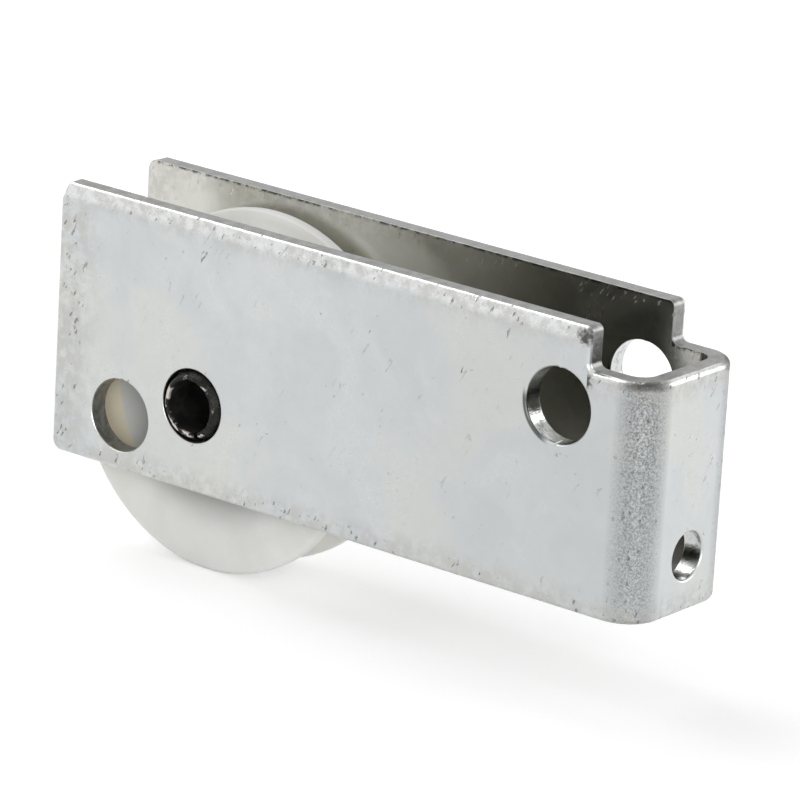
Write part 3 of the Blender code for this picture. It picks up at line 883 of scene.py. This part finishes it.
def on_adjuster_hole(place):
    """True where a point of the housing lies on the wall of the hole through the web."""
    off_axis = math.hypot(place.y - ADJUSTER_HOLE.y, place.z - ADJUSTER_HOLE.z)
    return place.x > BEND_CENTRE_X and off_axis < ADJUSTER_HOLE_DIAMETER / 2 + TOUCHING


def slice_at_holes(obj):
    """Edges across the sheet at the middle of each hole, so that no face has a hole in it."""
    shape = bmesh.new()
    shape.from_mesh(obj.data)
    planes = [(centre, (1, 0, 0)) for centre in PLATE_HOLES]
    for point, normal in [*planes, (ADJUSTER_HOLE, (0, 1, 0))]:
        everything = [*shape.verts, *shape.edges, *shape.faces]
        bmesh.ops.bisect_plane(shape, geom=everything, dist=SLICE_GAP, plane_co=point, plane_no=normal)
    shape.to_mesh(obj.data)
    shape.free()


def flare_holes(mesh):
    """Draws the pivot holes a little open towards the outer faces."""
    for corner in mesh.vertices:
        away = Vector((corner.co.x - PIVOT.x, 0, corner.co.z - PIVOT.z))
        if near(away.length, PLATE_HOLE_DIAMETER / 2) and on_outer_side(corner.co):
            corner.co += away.normalized() * HOLE_FLARE


def edge_share(edge):
    """How much of the full rounding a sharp edge of the housing gets."""
    places = [corner.co for corner in edge.verts]
    if not all(on_outer_side(place) for place in places):
        return INNER_EDGE_SHARE
    if all(on_plate_hole(place) for place in places):
        return HOLE_ROLL_SHARE
    if all(on_adjuster_hole(place) for place in places):
        return ADJUSTER_ROLL_SHARE
    return 1.0


def mark_edges(mesh):
    """Weights the sharp edges for rounding."""
    shape = bmesh.new()
    shape.from_mesh(mesh)
    weight = shape.edges.layers.float.new("bevel_weight_edge")
    for edge in shape.edges:
        if len(edge.link_faces) == 2 and edge.calc_face_angle() > SHARP_ANGLE:
            edge[weight] = edge_share(edge)
    shape.to_mesh(mesh)
    shape.free()


def deepen_top_roll(mesh):
    """Draws the rounding of the long upper edges further down the outer faces."""
    for corner in mesh.vertices:
        depth = UPPER_EDGE_Z - corner.co.z
        outer = abs(corner.co.y) > PLATE_OUTER_Y - SHEET_THICKNESS / 2
        if not outer or corner.co.x > PIVOT.x + TOUCHING or depth > TOP_ROLL_FADE:
            continue
        if depth < ROLLED_EDGE:
            depth *= TOP_ROLL / ROLLED_EDGE
        else:
            back = (TOP_ROLL_FADE - depth) / (TOP_ROLL_FADE - ROLLED_EDGE)
            depth += back * (TOP_ROLL - ROLLED_EDGE)
        corner.co.z = UPPER_EDGE_Z - depth


def outward(place):
    """The way the outer face of the bent sheet looks at a point of the housing."""
    reach_x = max(place.x - BEND_CENTRE_X, 0)
    reach_y = max(abs(place.y) - BEND_CENTRE_Y, 0)
    if reach_x == 0:
        return Vector((0, math.copysign(1, place.y), 0))
    return Vector((reach_x, math.copysign(reach_y, place.y), 0)).normalized()


def mark_cut_faces(mesh):
    """Gives the second material to the sheared edges, the hole walls and the inner burr."""
    for facet in mesh.polygons:
        facing = facet.normal.dot(outward(facet.center))
        facet.material_index = 0 if facing > OUTER_FACING or facing < INNER_FACING else 1


def make_housing(face, cut_face):
    section = [
        (OPEN_END_X, -PLATE_OUTER_Y, 0),
        (WEB_X, -PLATE_OUTER_Y, BEND_RADIUS),
        (WEB_X, PLATE_OUTER_Y, BEND_RADIUS),
        (OPEN_END_X, PLATE_OUTER_Y, 0),
        (OPEN_END_X, PLATE_INNER_Y, 0),
        (WEB_X - SHEET_THICKNESS, PLATE_INNER_Y, BEND_RADIUS - SHEET_THICKNESS),
        (WEB_X - SHEET_THICKNESS, -PLATE_INNER_Y, BEND_RADIUS - SHEET_THICKNESS),
        (OPEN_END_X, -PLATE_INNER_Y, 0),
    ]
    height = UPPER_EDGE_Z - LOWER_EDGE_Z + 2 * CUT_MARGIN
    lifted = Matrix.Translation((0, 0, (LOWER_EDGE_Z + UPPER_EDGE_Z) / 2))
    housing = prism("bent_housing", rounded_outline(section, BEND_STEPS), height, lifted)
    side_view = [
        (OPEN_END_X, LOWER_EDGE_Z, END_CORNER_RADIUS),
        (WEB_X + CUT_MARGIN, LOWER_EDGE_Z, 0),
        (WEB_X + CUT_MARGIN, NOTCH_Z, 0),
        (STEP_X, NOTCH_Z, NOTCH_FILLET),
        (STEP_X, UPPER_EDGE_Z, STEP_CORNER_RADIUS),
        (OPEN_END_X, UPPER_EDGE_Z, END_CORNER_RADIUS),
    ]
    across = 2 * (PLATE_OUTER_Y + CUT_MARGIN)
    upright = Matrix.Rotation(math.radians(90), 4, "X")
    cutters = [prism("side_view", rounded_outline(side_view, CORNER_STEPS), across, upright)]
    cut(housing, cutters[0], "INTERSECT")
    settle(housing, cutters)
    housing.data.transform(lifted)
    housing.matrix_world = Matrix.Identity(4)
    slice_at_holes(housing)
    cutters.clear()
    round_hole = arc((0, 0), PLATE_HOLE_DIAMETER / 2, 0, 360, HOLE_STEPS)[:-1]
    for centre in PLATE_HOLES:
        cutters.append(prism("plate_hole", round_hole, across, Matrix.Translation(centre) @ TURNED_TO_Y))
        cut(housing, cutters[-1])
    small_hole = arc((0, 0), ADJUSTER_HOLE_DIAMETER / 2, 0, 360, HOLE_STEPS)[:-1]
    towards_web = Matrix.Translation(ADJUSTER_HOLE) @ Matrix.Rotation(math.radians(90), 4, "Y")
    cutters.append(prism("adjuster_hole", small_hole, 2 * (SHEET_THICKNESS + CUT_MARGIN), towards_web))
    cut(housing, cutters[-1])
    settle(housing, cutters)
    flare_holes(housing.data)
    mark_edges(housing.data)
    rounding = housing.modifiers.new("Rolled edges", "BEVEL")
    rounding.limit_method = "WEIGHT"
    rounding.width = ROLLED_EDGE
    rounding.segments = EDGE_STEPS
    rounding.use_clamp_overlap = False
    smooth(housing)
    settle(housing)
    deepen_top_roll(housing.data)
    mark_cut_faces(housing.data)
    shading = housing.modifiers.new("Flat faces", "WEIGHTED_NORMAL")
    shading.keep_sharp = True
    dress(housing, "frame", "housing", "zinc_plate", face, cut_face)


def make_spring_pin(black_steel):
    radius = radius_of("axle_spring_pin")
    half_length = half_width_of("axle_spring_pin")
    bore = radius - PIN_WALL
    shoulder = half_length - PIN_CHAMFER_LENGTH
    nose = radius - PIN_CHAMFER_DEPTH
    profile = [
        (nose, half_length, PIN_EDGE_ROUND),
        (radius, shoulder, PIN_EDGE_ROUND),
        (radius, -shoulder, PIN_EDGE_ROUND),
        (nose, -half_length, PIN_EDGE_ROUND),
        (bore, -half_length, PIN_EDGE_ROUND),
        (bore, half_length, PIN_EDGE_ROUND),
    ]
    pin = lathe("slotted_axle_pin", rounded_outline(profile, EDGE_STEPS), TURN_STEPS, AXLE_FRAME)
    half_slit = PIN_SLIT / 2
    slit = [(0, -half_slit), (2 * radius, -half_slit), (2 * radius, half_slit), (0, half_slit)]
    towards_slit = AXLE_FRAME @ Matrix.Rotation(-PIN_SLIT_ANGLE, 4, "Z")
    cutter = prism("slit", slit, 2 * (half_length + CUT_MARGIN), towards_slit)
    cut(pin, cutter)
    settle(pin, [cutter])
    for corner in pin.data.vertices:
        depth = half_length - abs(corner.co.z)
        if depth < PIN_CHAMFER_LENGTH / 2:
            sway = noise_field.noise(corner.co * CROP_WAVES)
            out = Vector((corner.co.x, corner.co.y, 0)).normalized()
            corner.co += out * (sway * PIN_CROP_UNEVEN)
            corner.co.z -= math.copysign(abs(sway) * PIN_CROP_UNEVEN, corner.co.z)
    smooth(pin, SHARP_ANGLE)
    dress(pin, "frame", "axle_spring_pin", "black_steel", black_steel)


def make_turned(name, profile, body, node, slot, material, steps=TURN_STEPS):
    """A ring turned about the axle, as a finished piece."""
    ring = lathe(name, profile, steps, AXLE_FRAME)
    smooth(ring, SHARP_ANGLE)
    dress(ring, body, node, slot, material)


def make_tyre(nylon):
    radius = radius_of("nylon_tyre")
    half_width = half_width_of("nylon_tyre")
    seat_radius = radius_of("bearing_outer_race") + SEAT_CLEARANCE
    seat_half = half_width_of("bearing_outer_race") + SEAT_CLEARANCE
    lip_radius = seat_radius - TYRE_LIP_HEIGHT
    groove_centre = radius - TREAD_GROOVE_DEPTH + TREAD_GROOVE_RADIUS
    groove_half_deg = math.degrees(math.acos((groove_centre - radius) / TREAD_GROOVE_RADIUS))
    start_deg = 180 - groove_half_deg
    end_deg = 180 + groove_half_deg
    groove = arc((groove_centre, 0), TREAD_GROOVE_RADIUS, start_deg, end_deg, GROOVE_STEPS)
    corners = [
        (seat_radius, seat_half, 0),
        (lip_radius, seat_half, TYRE_LIP_EDGE),
        (lip_radius, half_width, TYRE_MOUTH_EDGE),
        (radius, half_width, TYRE_EDGE_RADIUS),
        (*groove[0], GROOVE_EDGE_RADIUS),
        *[(*point, 0) for point in groove[GROOVE_TRIM:-GROOVE_TRIM]],
        (*groove[-1], GROOVE_EDGE_RADIUS),
        (radius, -half_width, TYRE_EDGE_RADIUS),
        (lip_radius, -half_width, TYRE_MOUTH_EDGE),
        (lip_radius, -seat_half, TYRE_LIP_EDGE),
        (seat_radius, -seat_half, 0),
    ]
    profile = rounded_outline(corners, TYRE_CORNER_STEPS)
    make_turned("grooved_wheel", profile, "wheel", "nylon_tyre", "nylon", nylon, TYRE_STEPS)


def make_races(steel):
    half_width = half_width_of("bearing_outer_race")
    ball_radius = radius_of("ball_1")
    raceway_radius = ball_radius + BALL_CLEARANCE
    pitch_radius = (middle_of("ball_1") - AXLE).length
    outer = radius_of("bearing_outer_race")
    land = pitch_radius + raceway_radius - RACEWAY_DEPTH
    seat = land + SHIELD_SEAT_DEPTH
    seat_face = half_width - SHIELD_SEAT_WIDTH
    half_deg = math.degrees(math.acos((land - pitch_radius) / raceway_radius))
    groove = arc((pitch_radius, 0), raceway_radius, -half_deg, half_deg, GROOVE_STEPS)
    corners = [
        (outer, half_width, RACE_CORNER),
        (outer, -half_width, RACE_CORNER),
        (seat, -half_width, 0),
        (seat, -seat_face, 0),
        (land, -seat_face, RACE_LAND_EDGE),
        *[(*point, 0) for point in groove],
        (land, seat_face, RACE_LAND_EDGE),
        (seat, seat_face, 0),
        (seat, half_width, 0),
    ]
    profile = rounded_outline(corners, EDGE_STEPS)
    make_turned("ground_outer_race", profile, "wheel", "bearing_outer_race", "bearing_steel", steel)

    bore = radius_of("axle_spring_pin") + SEAT_CLEARANCE * 2
    land = radius_of("bearing_inner_race")
    half_deg = math.degrees(math.acos((pitch_radius - land) / raceway_radius))
    groove = arc((pitch_radius, 0), raceway_radius, 180 - half_deg, 180 + half_deg, GROOVE_STEPS)
    corners = [
        (land, half_width, RACE_LAND_EDGE),
        *[(*point, 0) for point in groove],
        (land, -half_width, RACE_LAND_EDGE),
        (bore, -half_width, RACE_CORNER),
        (bore, half_width, RACE_CORNER),
    ]
    profile = rounded_outline(corners, EDGE_STEPS)
    make_turned("ground_inner_race", profile, "frame", "bearing_inner_race", "bearing_steel", steel)


def make_balls(polished_steel):
    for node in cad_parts:
        if not node.startswith("ball_"):
            continue
        shape = bmesh.new()
        bmesh.ops.create_uvsphere(
            shape, u_segments=BALL_SEGMENTS, v_segments=BALL_RINGS, radius=radius_of(node)
        )
        ball = link("polished_" + node, finished(shape, node), Matrix.Translation(middle_of(node)))
        smooth(ball)
        dress(ball, node, node, "ball_steel", polished_steel)


def make_rivets(rivet_steel):
    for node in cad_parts:
        if not node.startswith("cage_rivet_"):
            continue
        shank = RIVET_SHANK_DIAMETER / 2
        head = radius_of(node)
        end = half_width_of(node)
        under = end - RIVET_HEAD_HEIGHT
        dome = []
        for degrees in RIVET_DOME_ANGLES:
            angle = math.radians(degrees)
            dome.append((head * math.cos(angle), under + RIVET_HEAD_HEIGHT * math.sin(angle)))
        profile = [
            (0, end),
            *reversed(dome),
            (shank, under),
            (shank, -under),
            *[(r, -h) for r, h in dome],
            (0, -end),
        ]
        upright = Matrix.Translation(middle_of(node)) @ TURNED_TO_Y
        rivet = lathe("headed_" + node, profile, SMALL_TURN_STEPS, upright)
        smooth(rivet, SHARP_ANGLE)
        dress(rivet, "cage", node, "cage_steel", rivet_steel)


def make_shields(shield_steel):
    for node, side in (("shield_front", -1), ("shield_rear", 1)):
        near_face, far_face = side_faces_of(node)
        outer = radius_of(node)
        inner = radius_of("bearing_inner_race") + SHIELD_BORE_GAP
        rim_inner = outer - SHIELD_RIM_WALL
        corners = [
            (outer, far_face, SHIELD_RIM_EDGE),
            (outer, near_face, SHIELD_RIM_EDGE),
            (inner, near_face, SHIELD_BORE_EDGE),
            (inner, near_face + SHIELD_THICKNESS, SHIELD_BORE_EDGE),
            (rim_inner, near_face + SHIELD_THICKNESS, SHIELD_RIM_EDGE),
            (rim_inner, far_face, SHIELD_RIM_EDGE),
        ]
        profile = [(r, side * h) for r, h in rounded_outline(corners, EDGE_STEPS)]
        make_turned("pressed_" + node, profile, "wheel", node, "shield_steel", shield_steel)


def make_spacers(spacer_steel):
    bore = radius_of("axle_spring_pin") + SEAT_CLEARANCE
    for node, side in (("spacer_front", -1), ("spacer_rear", 1)):
        near_face, far_face = side_faces_of(node)
        outer = radius_of(node)
        corners = [
            (outer, far_face, SPACER_EDGE),
            (outer, near_face, SPACER_EDGE),
            (bore, near_face, SPACER_EDGE),
            (bore, far_face, SPACER_EDGE),
        ]
        profile = [(r, side * h) for r, h in rounded_outline(corners, EDGE_STEPS)]
        make_turned("turned_" + node, profile, "frame", node, "spacer_steel", spacer_steel)


def paint_cage(cage_steel):
    for node in ("cage_front_half", "cage_rear_half"):
        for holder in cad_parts[node].material_slots:
            holder.material = cage_steel


# Stage: camera, floor, lights

CAMERA_PLACE = Vector((0.317613, -0.445514, 0.170526))
CAMERA_TARGET = Vector((-0.026204, 0.0, -0.007464))
CAMERA_ROLL = math.radians(3.366)
CAMERA_LENS = 255.686  # millimetres
CAMERA_SENSOR = 36  # millimetres
CAMERA_NEAREST = 0.01
CAMERA_FARTHEST = 20
FLOOR_REACH = 2
FLOOR_GLOW = 0.36
WALL_LIGHT = 0.95
CEILING_LIGHT = 0.12
# Soft boxes: place, size and power in watts. All face the middle of the part
SOFT_BOXES = (
    ("overhead_left", (-0.62, 0.05, 0.78), 0.75, 4.0),
    ("right", (0.70, -0.51, 0.24), 0.50, 3.2),
    ("back_right", (0.60, 0.75, 0.25), 0.60, 2.6),
)


def make_camera():
    camera = bpy.data.cameras.new("photo_camera")
    camera.lens = CAMERA_LENS
    camera.sensor_width = CAMERA_SENSOR
    camera.clip_start = CAMERA_NEAREST
    camera.clip_end = CAMERA_FARTHEST
    back = (CAMERA_PLACE - CAMERA_TARGET).normalized()
    level = Vector((0, 0, 1)).cross(back).normalized()
    upright = back.cross(level)
    right = math.cos(CAMERA_ROLL) * level + math.sin(CAMERA_ROLL) * upright
    up = math.cos(CAMERA_ROLL) * upright - math.sin(CAMERA_ROLL) * level
    matrix = Matrix((right, up, back)).transposed().to_4x4()
    matrix.translation = CAMERA_PLACE
    bpy.context.scene.camera = link("photo_camera", camera, matrix)


def seen_directly(tree):
    """1 for rays from the camera, off gloss and through glass, and 0 for light on matt surfaces."""
    path = add(tree, "LightPath").outputs
    return largest(tree, path["Is Camera Ray"], path["Is Glossy Ray"], path["Is Transmission Ray"])


def make_floor():
    """A pale floor that takes the part's shadow, and turns to plain white far off."""
    ways = ((-1, -1), (1, -1), (1, 1), (-1, 1))
    shape = bmesh.new()
    shape.faces.new([shape.verts.new((x * FLOOR_REACH, y * FLOOR_REACH, FLOOR_Z)) for x, y in ways])
    floor = link("floor", finished(shape, "floor"), Matrix.Identity(4))
    material, tree, shader = new_material("pale_floor")
    place = place_in_mm(tree)
    x, y, _ = split(tree, place)
    far = spread(tree, from_axis(tree, x, y), *FLOOR_FADE)
    tone = blend(tree, noise(tree, place, 0.01, roughness=0.55), FLOOR_DULL, FLOOR_PALE)
    tone = blend(tree, far, tone, BLACK)
    glow = ramp(tree, far, 0.0, 1.0, FLOOR_GLOW, 1.0)
    set_inputs(
        tree,
        shader,
        {
            "Base Color": tone,
            "Roughness": 0.9,
            "Specular IOR Level": 0.0,
            "Emission Color": WHITE,
            "Emission Strength": times(tree, seen_directly(tree), glow),
        },
    )
    floor.data.materials.append(material)


def make_lights():
    world = bpy.data.worlds.new("studio")
    bpy.context.scene.world = world
    world.use_nodes = True
    tree = world.node_tree
    background = tree.nodes["Background"]
    height = split(tree, add(tree, "TexCoord").outputs["Generated"])[2]
    matt = ramp(tree, height, 0.0, 1.0, WALL_LIGHT, CEILING_LIGHT)
    level = ramp(tree, seen_directly(tree), 0.0, 1.0, matt, 1.0)
    set_inputs(tree, background, {"Color": WHITE, "Strength": level})
    for name, place, size, power in SOFT_BOXES:
        lamp = bpy.data.lights.new(name, "AREA")
        lamp.size = size
        lamp.energy = power
        aim = (Vector(place) - CAMERA_TARGET).to_track_quat("Z", "Y")
        link(name, lamp, Matrix.Translation(place) @ aim.to_matrix().to_4x4())


def main():
    make_camera()
    make_floor()
    make_lights()
    make_housing(zinc_face_material(), zinc_cut_material())
    make_spring_pin(black_steel_material())
    make_tyre(nylon_material())
    make_races(turned_steel_material("ground_steel", GROUND_STEEL, 0.22, GROUND_RING_DEPTH))
    make_balls(turned_steel_material("polished_ball_steel", BALL_STEEL, 0.10, POLISHED_RING_DEPTH))
    strip = pressed_steel_material("pressed_cage_steel", STRIP_STEEL, 0.34)
    make_rivets(strip)
    paint_cage(strip)
    make_shields(pressed_steel_material("pressed_shield_steel", SHIELD_STEEL, 0.30))
    make_spacers(turned_steel_material("turned_spacer_steel", SPACER_STEEL, 0.32, TURNED_RING_DEPTH))
    bpy.context.scene.view_settings.view_transform = "Standard"


main()
